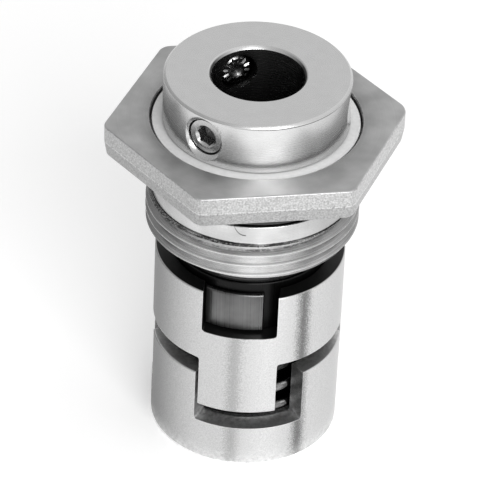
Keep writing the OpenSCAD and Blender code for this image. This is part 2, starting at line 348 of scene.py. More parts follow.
def make_screw_hole(turn):
    """A drill for one screw hole, whose mouth widens at the collar's wall."""
    deselect()
    bpy.ops.mesh.primitive_cylinder_add(
        vertices=64,
        radius=SCREW_HOLE_R * MM,
        depth=12 * MM,
        location=(0, (SCREW_HOLE_Y + 6) * MM, SCREW_Z * MM),
        rotation=(pi / 2, 0, 0),
    )
    drill = bpy.context.object
    settle(drill)
    edit(drill)
    select_faces(drill, lambda middle, normal: normal.y < -0.9)
    bpy.ops.transform.translate(value=(0, (CHAMFER - COLLAR_R - SCREW_HOLE_Y) * MM, 0))
    extrude_by((0, -CHAMFER_FLARE * MM, 0))
    bpy.ops.transform.resize(value=((SCREW_HOLE_R + CHAMFER_FLARE) / SCREW_HOLE_R,) * 3)
    leave_edit()
    drill.data.transform(Matrix.Rotation(radians(turn), 4, "Z"))
    return drill


def make_shaft_sleeve():
    """Collar and tube, turned from one bar."""
    piece = turned(
        "sleeve_and_collar",
        [
            (BORE_R, TUBE_Z, 0.1),
            (TUBE_R, TUBE_Z, 0.25),
            (TUBE_R, CIRCLIP_Z),
            (TUBE_R - CIRCLIP_DEPTH, CIRCLIP_Z),
            (TUBE_R - CIRCLIP_DEPTH, FLOOR_Z),
            (TUBE_R, FLOOR_Z),
            (TUBE_R, COLLAR_Z, 0.15),
            (COLLAR_R, COLLAR_Z, 0.2),
            (COLLAR_R, TOP_Z - 0.3, 0.12),
            (COLLAR_R - 0.3, TOP_Z, 0.12),
            (BORE_R + 0.4, TOP_Z, 0.1),
            (BORE_R, TOP_Z - 0.4, 0.1),
            (BORE_R, ORING_TOP_Z),
            (BORE_R + ORING_DEPTH, ORING_TOP_Z),
            (BORE_R + ORING_DEPTH, ORING_Z),
            (BORE_R, ORING_Z),
        ],
    )
    for i in range(3):
        combine(piece, make_screw_hole(SCREW_TURN + SCREW_STEP * i), "DIFFERENCE")
    soften(piece, 0.08)
    finish_shading(piece)
    return piece


def threaded_rod(name, major_r, pitch, low_z, high_z, depth, steps):
    """A rod whose thread runs past both ends, to be cut to length by a turned blank."""
    deselect()
    bpy.ops.mesh.primitive_plane_add(size=MM)
    piece = bpy.context.object
    piece.name = name
    edit(piece)
    bpy.ops.mesh.select_all(action="SELECT")
    bpy.ops.mesh.merge(type="CENTER")
    flat = pitch / 8
    root = major_r - depth
    shoulder = major_r - 0.04 * depth
    form = [
        (root, 0),
        (root, flat * 0.9),
        (shoulder, pitch / 2 - flat / 2),
        (major_r, pitch / 2 - flat / 3),
        (major_r, pitch / 2 + flat / 3),
        (shoulder, pitch / 2 + flat / 2),
        (root, pitch - flat * 0.9),
        (root, pitch),
    ]
    bpy.ops.transform.translate(value=Vector((root, 0, low_z - 1.5 * pitch)) * MM)
    for (r0, z0), (r1, z1) in zip(form, form[1:]):
        extrude_by(Vector((r1 - r0, 0, z1 - z0)) * MM)
    leave_edit()
    turns = int((high_z - low_z) / pitch) + 4
    modify(
        piece,
        "SCREW",
        angle=2 * pi,
        screw_offset=pitch * MM,
        iterations=turns,
        steps=steps,
        render_steps=steps,
        axis="Z",
        use_merge_vertices=True,
        merge_threshold=1e-7,
        use_normal_calculate=True,
    )
    edit(piece)
    bpy.ops.mesh.select_mode(type="EDGE")
    bpy.ops.mesh.select_all(action="SELECT")
    bpy.ops.mesh.remove_doubles(threshold=2e-7)
    middle_z = (low_z + high_z) / 2
    for way in (-1, 1):
        bpy.ops.mesh.select_all(action="DESELECT")
        shape = bmesh.from_edit_mesh(piece.data)
        for edge in shape.edges:
            if edge.is_boundary and (edge.verts[0].co.z / MM - middle_z) * way > 0:
                edge.select_set(True)
        bmesh.update_edit_mesh(piece.data)
        extrude_by((0, 0, 2 * way * MM))
        bpy.ops.mesh.merge(type="CENTER")
    bpy.ops.mesh.select_all(action="SELECT")
    bpy.ops.mesh.normals_make_consistent(inside=False)
    leave_edit()
    return piece


def trimmed_thread(name, blank, major_r, pitch, low_z, high_z, depth, lead=0.0, steps=192):
    """The blank with a right-handed thread; lead moves the thread along the axis."""
    rod = threaded_rod(name, major_r, pitch, low_z + lead, high_z, depth, steps)
    combine(rod, blank, "INTERSECT")
    return rod


# M5 set screw with a 2.5 mm key, in mm; its socket turns are degrees for the three screws
SCREW_R = 2.5
SCREW_LENGTH = 5.0
SCREW_PITCH = 0.8
SCREW_THREAD_DEPTH = 0.46
SCREW_SINK = 0.8
POINT_R = 1.75
HEAD_R = 2.42
SOCKET_R = 1.443
MOUTH_R = 1.72
CUP_POINT_R = 1.3
TOOTH_COUNT = 12
SOCKET_TURNS = {"set_screw_front": 20, "set_screw_right": 5, "set_screw_rear": 40}


def make_set_screw():
    """Modelled standing at the origin, its socket end up; the collar's screws are copies of it."""
    top = SCREW_LENGTH
    blank = turned(
        "screw_blank",
        [(0, 0), (POINT_R, 0, 0.05), (SCREW_R, 0.75), (SCREW_R, 4.6), (2.1, top, 0.05), (0, top)],
        steps=96,
    )
    piece = trimmed_thread("set_screw", blank, SCREW_R, SCREW_PITCH, 0, top, SCREW_THREAD_DEPTH, steps=96)
    rim_z = top + 0.03
    head = turned(
        "head",
        [(0, 4.3), (2.2, 4.3), (HEAD_R, 4.5), (HEAD_R, 4.9), (HEAD_R - 0.1, rim_z, 0.04), (0, rim_z)],
        steps=96,
    )
    combine(piece, head, "UNION")
    socket = turned("socket", [(0, 3.0), (SOCKET_R, 3.3), (SOCKET_R, top + 1), (0, top + 1)], steps=6)
    mouth_z = top + 0.17
    mouth = turned("socket_mouth", [(0, 4.5), (1.15, 4.6), (MOUTH_R, mouth_z), (0, mouth_z)], steps=48)
    combine(piece, socket, "DIFFERENCE")
    combine(piece, mouth, "DIFFERENCE")
    cup = turned("cup", [(0, 0.95), (CUP_POINT_R, -0.05), (CUP_POINT_R, -0.5), (0, -0.5)], steps=48)
    combine(piece, cup, "DIFFERENCE")
    tooth = block("tooth_gap", (-0.14, -2.6, -0.2), (0.14, -1.15, 0.13))
    tooth.data.transform(Matrix.Rotation(radians(45), 4, "Y"))
    combine(piece, copies_around(tooth, 0, TOOTH_COUNT), "DIFFERENCE")
    finish_shading(piece, 35)
    return piece


def place_set_screws(model):
    """Three copies, each in its own hole of the collar."""
    made = []
    for i, (name, socket_turn) in enumerate(SOCKET_TURNS.items()):
        piece = model.copy()
        piece.data = model.data.copy()
        piece.name = "threaded_" + name
        SCENE.collection.objects.link(piece)
        point = COLLAR_R - SCREW_SINK - SCREW_LENGTH
        place = (
            Matrix.Translation((0, 0, SCREW_Z * MM))
            @ Matrix.Rotation(radians(SCREW_TURN + SCREW_STEP * i), 4, "Z")
            @ Matrix.Translation((0, -point * MM, 0))
            @ Matrix.Rotation(pi / 2, 4, "X")
            @ Matrix.Rotation(radians(socket_turn), 4, "Z")
        )
        piece.data.transform(place)
        made.append((piece, name))
    bpy.data.objects.remove(model)
    return made


# Radii of the hexagon's corners by their azimuth, and how far back each starts per mm of radius
CORNER_ROUNDING = {-140: 1.6, -80: 1.6, -20: 1.5, 40: 1.6, 100: 2.6, 160: 1.6}
CORNER_START = 0.577
CREASE_Z = 45.6
HEX_FOOT_SHARE = 17.0 / 17.3


def make_hexagon():
    """Upright above the crease and drafted below it, with rounded corners and broken edges."""
    deselect()
    bpy.ops.mesh.primitive_cylinder_add(
        vertices=6,
        radius=HEX_APOTHEM / cos(pi / 6) * MM,
        depth=(HEX_TOP_Z - CREASE_Z) * MM,
        location=(0, 0, (HEX_TOP_Z + CREASE_Z) / 2 * MM),
        rotation=(0, 0, radians(HEX_TURN + 30)),
    )
    piece = bpy.context.object
    piece.name = "hexagon"
    settle(piece)
    edit(piece)
    select_faces(piece, lambda middle, normal: normal.z < -0.9)
    extrude_by((0, 0, (HEX_Z - CREASE_Z) * MM))
    bpy.ops.transform.resize(value=(HEX_FOOT_SHARE, HEX_FOOT_SHARE, 1))
    for azimuth, radius in CORNER_ROUNDING.items():

        def at_corner(middle, along):
            off = (azimuth_of(middle) - azimuth + 180) % 360 - 180
            return abs(along.z) > 0.8 and abs(off) < 6

        select_edges(piece, at_corner)
        bevel_selected(radius * CORNER_START, 6)
    select_edges(piece, lambda middle, along: abs(along.z) < 0.1 and abs(middle.z - CREASE_Z) > 0.5)
    bevel_selected(0.22, 3)
    select_edges(piece, lambda middle, along: abs(along.z) < 0.1 and abs(middle.z - CREASE_Z) < 0.1)
    bevel_selected(0.18, 2)
    leave_edit()
    return piece


# M28 thread and bores of the carrier, in mm
CARRIER_PITCH = 1.5
CARRIER_THREAD_DEPTH = 0.92
CARRIER_LEAD = -0.125
BLANK_TOP_Z = 37.28
HUB_HOLE_R = 10.0
SEAT_HOLE_R = 8.6
PIN_R = 0.75
PIN_CIRCLE_R = 9.725


def make_pin_hole(side):
    """A drill for one seat pin, on the left or the right of the cavity's floor."""
    deselect()
    bpy.ops.mesh.primitive_cylinder_add(
        vertices=32, radius=PIN_R * MM, depth=3 * MM, location=(side * PIN_CIRCLE_R * MM, 0, 38.4 * MM)
    )
    drill = bpy.context.object
    settle(drill)
    return drill


def make_seal_carrier():
    """Hexagon, groove, neck and thread in one piece, hollow inside."""
    blank = turned(
        "thread_blank",
        [
            (0, CARRIER_Z),
            (13.2, CARRIER_Z, 0.06),
            (THREAD_R, THREAD_Z),
            (THREAD_R, THREAD_TOP_Z),
            (13.35, BLANK_TOP_Z, 0.05),
            (0, BLANK_TOP_Z),
        ],
    )
    piece = trimmed_thread(
        "seal_carrier_with_thread",
        blank,
        THREAD_R,
        CARRIER_PITCH,
        CARRIER_Z,
        NECK_Z,
        CARRIER_THREAD_DEPTH,
        lead=CARRIER_LEAD,
    )
    foot_r = 13.08
    neck = turned(
        "neck",
        [
            (0, 36.9),
            (foot_r, 36.9),
            (foot_r, 37.34),
            (NECK_R, 37.46, 0.03),
            (NECK_R, GASKET_Z, 0.15),
            (GROOVE_R, GASKET_Z, 0.1),
            (GROOVE_R, HEX_Z + 0.4),
            (0, HEX_Z + 0.4),
        ],
    )
    combine(piece, neck, "UNION")
    combine(piece, make_hexagon(), "UNION")
    hollow = turned(
        "hollow",
        [
            (0, CARRIER_Z - 1),
            (CAVITY_R + 1.4, CARRIER_Z - 1),
            (CAVITY_R, CARRIER_Z + 0.4),
            (CAVITY_R, SEAT_TOP_Z),
            (SEAT_HOLE_R, SEAT_TOP_Z),
            (SEAT_HOLE_R, HUB_Z),
            (HUB_HOLE_R, HUB_Z),
            (HUB_HOLE_R, FLANGE_Z),
            (RECESS_R, FLANGE_Z),
            (RECESS_R, HEX_TOP_Z - 0.12),
            (RECESS_R + 0.62, HEX_TOP_Z + 0.5),
            (0, HEX_TOP_Z + 0.5),
        ],
    )
    combine(piece, hollow, "DIFFERENCE")
    for side in (-1, 1):
        combine(piece, make_pin_hole(side), "DIFFERENCE")
    finish_shading(piece, 38)
    return piece


def make_bearing_ring():
    """White ring between the carrier and the tube."""
    piece = turned(
        "white_bearing_ring",
        [
            (RUNNING_R, HUB_Z, 0.08),
            (HUB_R, HUB_Z, 0.1),
            (HUB_R, FLANGE_Z),
            (FLANGE_R, FLANGE_Z, 0.08),
            (FLANGE_R, FLANGE_TOP_Z, 0.15),
            (RUNNING_R, FLANGE_TOP_Z, 0.08),
        ],
    )
    finish_shading(piece)
    return piece


# Lugs and bores of the rotating ring, in mm; a lug's sides are counted from its slot's middle
LUG_LEFT = -4.85
LUG_RIGHT = 2.95
LUG_ROOT_R = 9.0
FACE_SEAT_R = 9.8
POCKET_R = 9.19


def make_rotating_ring():
    """Rotating ring with three lugs, hollow below for its sealing ring."""
    piece = turned(
        "lugged_rotating_ring",
        [
            (RUNNING_R, SLOT_Z),
            (RING_R, SLOT_Z, 0.15),
            (RING_R, RING_TOP_Z, 0.2),
            (FACE_SEAT_R, RING_TOP_Z, 0.05),
            (FACE_SEAT_R, RING_FACE_Z),
            (RUNNING_R, RING_FACE_Z),
        ],
    )
    lug = turned(
        "lug",
        [(LUG_ROOT_R, LUG_Z), (LUG_R, LUG_Z, 0.2), (LUG_R, LUG_TOP_Z, 0.35), (LUG_ROOT_R, LUG_TOP_Z)],
        steps=24,
        span=60,
        start=-30,
    )
    frame_block = block("lug_frame", (LUG_LEFT, -13, LUG_Z - 1), (LUG_RIGHT, -8.5, LUG_TOP_Z + 1))
    combine(lug, frame_block, "INTERSECT")
    soften(lug, 0.28, segments=1, angle=60)
    combine(piece, copies_around(lug, DRIVE_TURN), "UNION")
    pocket = turned(
        "pocket",
        [(0, SLOT_Z - 1), (POCKET_R, SLOT_Z - 1), (POCKET_R, POCKET_Z), (0, POCKET_Z)],
        steps=96,
    )
    combine(piece, pocket, "DIFFERENCE")
    finish_shading(piece)
    return piece


# Tongues, notches and the start of the sleeve's spin in degrees; slots and corners in mm
TONGUE_SPAN = 48.4
NOTCH_SPAN = 69.4
SLOT_W = 9.9
SLOT_CORNER = 0.4
NOTCH_CORNER = 0.3
SEAM_START = 0.69


def make_drive_sleeve():
    """Slots above for the lugs, tongues below for the cup's notches."""
    piece = turned(
        "blasted_drive_sleeve",
        [
            (DRIVE_INNER_R, TONGUE_Z, 0.1),
            (DRIVE_R, TONGUE_Z, 0.15),
            (DRIVE_R, DRIVE_TOP_Z, 0.2),
            (DRIVE_INNER_R, DRIVE_TOP_Z, 0.15),
            (DRIVE_INNER_R, SLOT_Z),
            (RUNNING_R, SLOT_Z),
            (RUNNING_R, WEB_Z),
            (DRIVE_INNER_R, WEB_Z),
        ],
        start=SEAM_START,
    )
    gap = sector_cutter("tongue_gap", 120 - TONGUE_SPAN, TONGUE_Z - 2, DRIVE_Z, SLOT_CORNER, DRIVE_Z, 8.0)
    combine(piece, copies_around(gap, DRIVE_TURN + 60), "DIFFERENCE")
    slot = block("slot", (-SLOT_W / 2, -CUTTER_R, SLOT_Z), (SLOT_W / 2, -4, DRIVE_TOP_Z + 2))
    round_edges(slot, lambda middle, along: abs(along.y) > 0.9 and middle.z < SLOT_Z + 0.1, SLOT_CORNER)
    combine(piece, copies_around(slot, DRIVE_TURN), "DIFFERENCE")
    soften(piece, 0.09)
    finish_shading(piece)
    return piece


def make_spring_cup():
    """Spring cup with three notches, its floor under the spring's seat."""
    piece = turned(
        "blasted_spring_cup",
        [
            (CUP_INNER_R, 0, 0.1),
            (CUP_R - 0.4, 0, 0.15),
            (CUP_R, 0.4, 0.15),
            (CUP_R, CUP_TOP_Z, 0.2),
            (CUP_INNER_R, CUP_TOP_Z, 0.15),
            (CUP_INNER_R, SPRING_Z),
            (TUBE_R, SPRING_Z),
            (TUBE_R, FLOOR_Z),
            (CUP_INNER_R, FLOOR_Z),
        ],
    )
    notch = sector_cutter("notch", NOTCH_SPAN, NOTCH_Z, CUP_TOP_Z + 2, NOTCH_CORNER, NOTCH_Z, 9.0)
    combine(piece, copies_around(notch, CUP_TURN), "DIFFERENCE")
    soften(piece, 0.09)
    finish_shading(piece)
    return piece


# Spring wire in mm, with its start in degrees
WIRE_D = 1.6
SPRING_R = 8.8
SPRING_TURNS = 4
SPRING_START = -250
FLAT_TURNS = 0.7


def make_coil_spring():
    """Coil spring of round wire, its end coils lying flat."""
    low = SPRING_Z + WIRE_D / 2
    high = SPRING_TOP_Z - WIRE_D / 2
    flat = FLAT_TURNS / SPRING_TURNS
    rise = 0.5 * WIRE_D
    steps = 60 * SPRING_TURNS
    path = bpy.data.curves.new("spring_path", "CURVE")
    path.dimensions = "3D"
    path.bevel_depth = WIRE_D / 2 * MM
    path.bevel_resolution = 6
    path.use_fill_caps = True
    line = path.splines.new("POLY")
    line.points.add(steps)
    for i in range(steps + 1):
        t = i / steps
        if t < flat:
            z = low + rise * t / flat
        elif t > 1 - flat:
            z = high - rise * (1 - t) / flat
        else:
            z = low + rise + (high - low - 2 * rise) * (t - flat) / (1 - 2 * flat)
        turn = radians(360 * SPRING_TURNS * t + SPRING_START)
        line.points[i].co = (SPRING_R * cos(turn) * MM, SPRING_R * sin(turn) * MM, z * MM, 1)
    piece = bpy.data.objects.new("round_wire_spring", path)
    SCENE.collection.objects.link(piece)
    pick(piece)
    bpy.ops.object.convert(target="MESH")
    piece = bpy.context.object
    edit(piece)
    bpy.ops.mesh.select_all(action="SELECT")
    bpy.ops.mesh.remove_doubles(threshold=1e-6)
    bpy.ops.mesh.normals_make_consistent(inside=False)
    leave_edit()
    pick(piece)
    bpy.ops.object.shade_smooth_by_angle(angle=radians(40))
    return piece


# Node trees of the materials: lengths in mm, angles in degrees


class Tree:
    """Short ways to add nodes to a node tree."""

    def __init__(self, tree):
        self.tree = tree

    def add(self, kind, inputs=None, **settings):
        """A node with these settings; an input is a value or the output of another node."""
        node = self.tree.nodes.new(kind)
        for key, value in settings.items():
            setattr(node, key, value)
        for key, value in (inputs or {}).items():
            if isinstance(value, bpy.types.NodeSocket):
                self.link(value, node.inputs[key])
            else:
                node.inputs[key].default_value = value
        return node

    def link(self, output, socket):
        self.tree.links.new(output, socket)

    def math(self, operation, a, b=0.0, clamp=False):
        return self.add("ShaderNodeMath", {0: a, 1: b}, operation=operation, use_clamp=clamp).outputs[0]

    def plus(self, a, b):
        return self.math("ADD", a, b)

    def minus(self, a, b):
        return self.math("SUBTRACT", a, b)

    def times(self, a, b):
        return self.math("MULTIPLY", a, b)

    def apart(self, a, b):
        """How far one value is from the other, whichever is larger."""
        return self.math("ABSOLUTE", self.minus(a, b))

    def spread(self, value, low, high, to_low=0.0, to_high=1.0, smooth=False):
        """The value's way from low to high, carried over to another range."""
        inputs = {"Value": value, "From Min": low, "From Max": high, "To Min": to_low, "To Max": to_high}
        kind = "SMOOTHSTEP" if smooth else "LINEAR"
        return self.add("ShaderNodeMapRange", inputs, interpolation_type=kind, clamp=True).outputs["Result"]

    def mix(self, share, a, b):
        """a where the share is 0, b where it is 1."""
        inputs = {0: share, 2: a, 3: b}
        return self.add("ShaderNodeMix", inputs, data_type="FLOAT", clamp_factor=True).outputs[0]

    def noise(self, vector, scale, detail):
        inputs = {"Vector": vector, "Scale": scale, "Detail": detail}
        return self.add("ShaderNodeTexNoise", inputs, noise_dimensions="3D").outputs[0]

    def noise_along(self, value, scale, detail):
        inputs = {"W": value, "Scale": scale, "Detail": detail}
        return self.add("ShaderNodeTexNoise", inputs, noise_dimensions="1D").outputs[0]

    def effect(self, group, **inputs):
        """The output of one of the shared effects below."""
        return self.add("ShaderNodeGroup", inputs, node_tree=group).outputs[0]

    def place(self):
        """Radius, height and azimuth around the main axis, and 1 where a face stands upright."""
        coordinates = self.add("ShaderNodeTexCoord")
        spot = self.add("ShaderNodeSeparateXYZ", {0: coordinates.outputs["Object"]})
        normal = self.add("ShaderNodeSeparateXYZ", {0: coordinates.outputs["Normal"]})
        x, y, z = spot.outputs
        across = self.math("SQRT", self.plus(self.times(x, x), self.times(y, y)))
        turn = self.math("ARCTAN2", x, self.times(y, -1.0))
        steep = self.math("ABSOLUTE", normal.outputs["Z"])
        return (
            self.math("DIVIDE", across, MM),
            self.math("DIVIDE", z, MM),
            self.times(turn, 180 / pi),
            self.spread(steep, 0.8, 0.6),
        )


def new_effect(name, inputs, outputs):
    """An empty node group with named inputs and outputs, and its two ends."""
    group = bpy.data.node_groups.new(name, "ShaderNodeTree")
    for label, value in inputs.items():
        socket = group.interface.new_socket(label, in_out="INPUT", socket_type="NodeSocketFloat")
        socket.default_value = value
    for label in outputs:
        group.interface.new_socket(label, in_out="OUTPUT", socket_type="NodeSocketFloat")
    tree = Tree(group)
    return group, tree, tree.add("NodeGroupInput"), tree.add("NodeGroupOutput")


def make_lathe_lines():
    """Fine lines left by turning: rings on a face, hoops around an upright wall."""
    group, tree, start, end = new_effect("lathe_lines", {"Lines per mm": 8.0}, ["Lines"])
    radius, height, _, upright = tree.place()
    along = tree.mix(upright, radius, height)
    fine = tree.noise_along(along, start.outputs["Lines per mm"], 3.0)
    tree.link(fine, end.inputs["Lines"])
    return group


def make_upright_lines():
    """Lines that run up and down a wall, as from grinding."""
    group, tree, start, end = new_effect("upright_lines", {"Lines per mm": 6.0}, ["Lines"])
    _, height, azimuth, _ = tree.place()
    around = tree.times(azimuth, 0.2)
    drift = tree.times(height, 0.02)
    fine = tree.noise_along(tree.plus(around, drift), start.outputs["Lines per mm"], 4.0)
    tree.link(fine, end.inputs["Lines"])
    return group


def make_grain():
    """Even grain of blasting, casting or moulding."""
    group, tree, start, end = new_effect("grain", {"Size": 0.15}, ["Grain"])
    coordinates = tree.add("ShaderNodeTexCoord")
    scale = tree.math("DIVIDE", 1.0 / MM, start.outputs["Size"])
    tree.link(tree.noise(coordinates.outputs["Object"], scale, 2.0), end.inputs["Grain"])
    return group


def make_worn_edge_sheen():
    """1 along edges: partly rubbed bright by touch and handling, partly a painted highlight."""
    group, tree, start, end = new_effect("worn_edge_sheen", {"Reach": 0.15}, ["Edge"])
    reach = tree.times(start.outputs["Reach"], MM)
    bent = tree.add("ShaderNodeBevel", {"Radius": reach}, samples=4)
    normal = tree.add("ShaderNodeNewGeometry").outputs["Normal"]
    alike = tree.add("ShaderNodeVectorMath", {0: bent.outputs[0], 1: normal}, operation="DOT_PRODUCT")
    edge = tree.spread(alike.outputs["Value"], 0.995, 0.9)
    coordinates = tree.add("ShaderNodeTexCoord")
    patchy = tree.spread(tree.noise(coordinates.outputs["Object"], 700.0, 3.0), 0.3, 0.6)
    tree.link(tree.times(edge, patchy), end.inputs["Edge"])
    return group


def make_recess_shade():
    """1 in the open, falling to 0 deep in a gap: the mask for painted shade in gaps and hollows."""
    group, tree, start, end = new_effect("recess", {"Reach": 4.0, "Closed": 0.1}, ["Open"])
    reach = tree.times(start.outputs["Reach"], MM)
    free = tree.add("ShaderNodeAmbientOcclusion", {"Distance": reach}, samples=8)
    share = tree.spread(free.outputs["AO"], start.outputs["Closed"], 0.85, smooth=True)
    tree.link(share, end.inputs["Open"])
    return group


# Upright bands of a satin wall: azimuth, half width, and the share of light they lose.
# They are the studio's reflections in the photograph, and stay on the piece when it turns.
BLASTED_BANDS = [
    (-88.0, 66.0, 0.88),
    (-6.5, 7.0, 0.28),
    (14.0, 22.0, -0.2),
    (36.2, 7.5, 0.68),
    (75.0, 30.0, 0.12),
    (100.0, 8.0, 0.3),
    (150.0, 14.0, 0.3),
    (-150.0, 8.0, 0.3),
]
TURNED_BANDS = [
    (-84.0, 66.0, 0.38),
    (4.0, 26.0, -0.1),
    (68.0, 50.0, 0.28),
    (-165.0, 18.0, 0.25),
]
BAND_BREAKUP = 9.0


def make_bands(name, bands):
    """1 round most of a wall, less in its darker bands, whose edges the grain breaks up."""
    group, tree, start, end = new_effect(name, {"Grain": 0.5}, ["Light"])
    azimuth = tree.place()[2]
    broken = tree.times(tree.minus(start.outputs["Grain"], 0.5), BAND_BREAKUP)
    light = 1.0
    for middle, half_width, loss in bands:
        off = tree.plus(tree.apart(azimuth, middle), broken)
        dip = tree.spread(off, half_width, 0.0, 0.0, loss, smooth=True)
        light = tree.minus(light, dip)
    tree.link(light, end.inputs["Light"])
    return group


LATHE_LINES = make_lathe_lines()
UPRIGHT_LINES = make_upright_lines()
GRAIN = make_grain()
WORN_EDGE_SHEEN = make_worn_edge_sheen()
RECESS_SHADE = make_recess_shade()
BLASTED_WALL = make_bands("blasted_wall", BLASTED_BANDS)
TURNED_WALL = make_bands("turned_wall", TURNED_BANDS)


def new_material(name, metallic):
    """A material, its tree and its shader."""
    made = bpy.data.materials.new(name)
    made.use_nodes = True
    shader = made.node_tree.nodes["Principled BSDF"]
    shader.inputs["Metallic"].default_value = metallic
    return made, Tree(made.node_tree), shader


def finish(tree, shader, colour, rough, height):
    """Joins grey value, roughness and the surface's height in mm to the shader."""
    tree.link(colour, shader.inputs["Base Color"])
    tree.link(rough, shader.inputs["Roughness"])
    bump = tree.add("ShaderNodeBump", {"Height": height, "Distance": MM, "Strength": 1.0})
    tree.link(bump.outputs["Normal"], shader.inputs["Normal"])


# The dark hairline under the collar's rim: height in mm, ends in degrees
DARK_HAIRLINE_Z = TOP_Z - 0.42
DARK_HAIRLINE_FROM = -22.0
DARK_HAIRLINE_TO = 66.0


def make_turned_steel():
    """Collar, tube and washers: satin, with the finest turning lines, painted reflection bands on the wall,
    and painted shade in the bore.
    """
    made, tree, shader = new_material("turned_steel", 1.0)
    radius, height, azimuth, upright = tree.place()
    lines = tree.effect(LATHE_LINES, **{"Lines per mm": 9.0})
    grain = tree.effect(GRAIN, Size=1.6)
    edge = tree.effect(WORN_EDGE_SHEEN, Reach=0.1)
    # Painted shade: the bore and other hollows go nearly black, all but the collar's outside.
    free = tree.effect(RECESS_SHADE, Reach=9.0)
    free = tree.math("MAXIMUM", free, tree.spread(radius, COLLAR_R - 1.2, COLLAR_R - 1.0))
    shade = tree.spread(lines, 0.2, 0.8, 0.66, 0.69)
    shade = tree.times(shade, tree.spread(grain, 0.2, 0.8, 0.97, 1.03))
    # Painted reflection bands on the upright wall.
    shade = tree.times(shade, tree.mix(upright, 1.0, tree.effect(TURNED_WALL)))
    shade = tree.mix(edge, shade, 0.78)
    shade = tree.mix(free, 0.02, shade)
    # Painted shade on the bore's wall and the inner half of its chamfer, all round but the back.
    not_back = tree.spread(tree.math("ABSOLUTE", azimuth), 150.0, 110.0)
    chamfer_shade = tree.times(tree.spread(radius, BORE_R + 0.3, BORE_R + 0.2), not_back)
    shade = tree.mix(chamfer_shade, shade, 0.05)
    # A darker hairline just under the rim's chamfer, on the front and the right only.
    dark_hairline = tree.spread(tree.apart(height, DARK_HAIRLINE_Z), 0.08, 0.03)
    dark_hairline = tree.times(dark_hairline, tree.spread(azimuth, DARK_HAIRLINE_FROM, DARK_HAIRLINE_FROM + 27.0))
    dark_hairline = tree.times(dark_hairline, tree.spread(azimuth, DARK_HAIRLINE_TO, DARK_HAIRLINE_TO - 16.0))
    shade = tree.mix(dark_hairline, shade, 0.12)
    rough = tree.spread(lines, 0.2, 0.8, 0.24, 0.30)
    finish(tree, shader, shade, rough, tree.times(lines, 0.0005))
    return made


# The scratch on the neck: ends in degrees, height and rise in mm
SCRATCH_FROM = -2.4
SCRATCH_TO = -9.4
SCRATCH_Z = NECK_Z + 1.3
SCRATCH_RISE = 1.3


def make_scratch(tree, height, azimuth):
    """1 along the curved scratch on the front of the neck."""
    way = tree.spread(azimuth, SCRATCH_FROM, SCRATCH_TO)
    curve = tree.plus(tree.times(tree.math("POWER", way, 3.0), SCRATCH_RISE), SCRATCH_Z)
    line = tree.spread(tree.apart(height, curve), 0.12, 0.04)
    ends = tree.times(tree.spread(way, 0.0, 0.08), tree.spread(way, 1.0, 0.98))
    return tree.times(line, ends)


# Where the carrier's finishes meet, and its torn line, in mm
OUTER_R = 13.0
FLAT_R = 16.4
GROOVE_MIDDLE_Z = HEX_Z - 2.6
TORN_Z = NECK_Z - 0.25


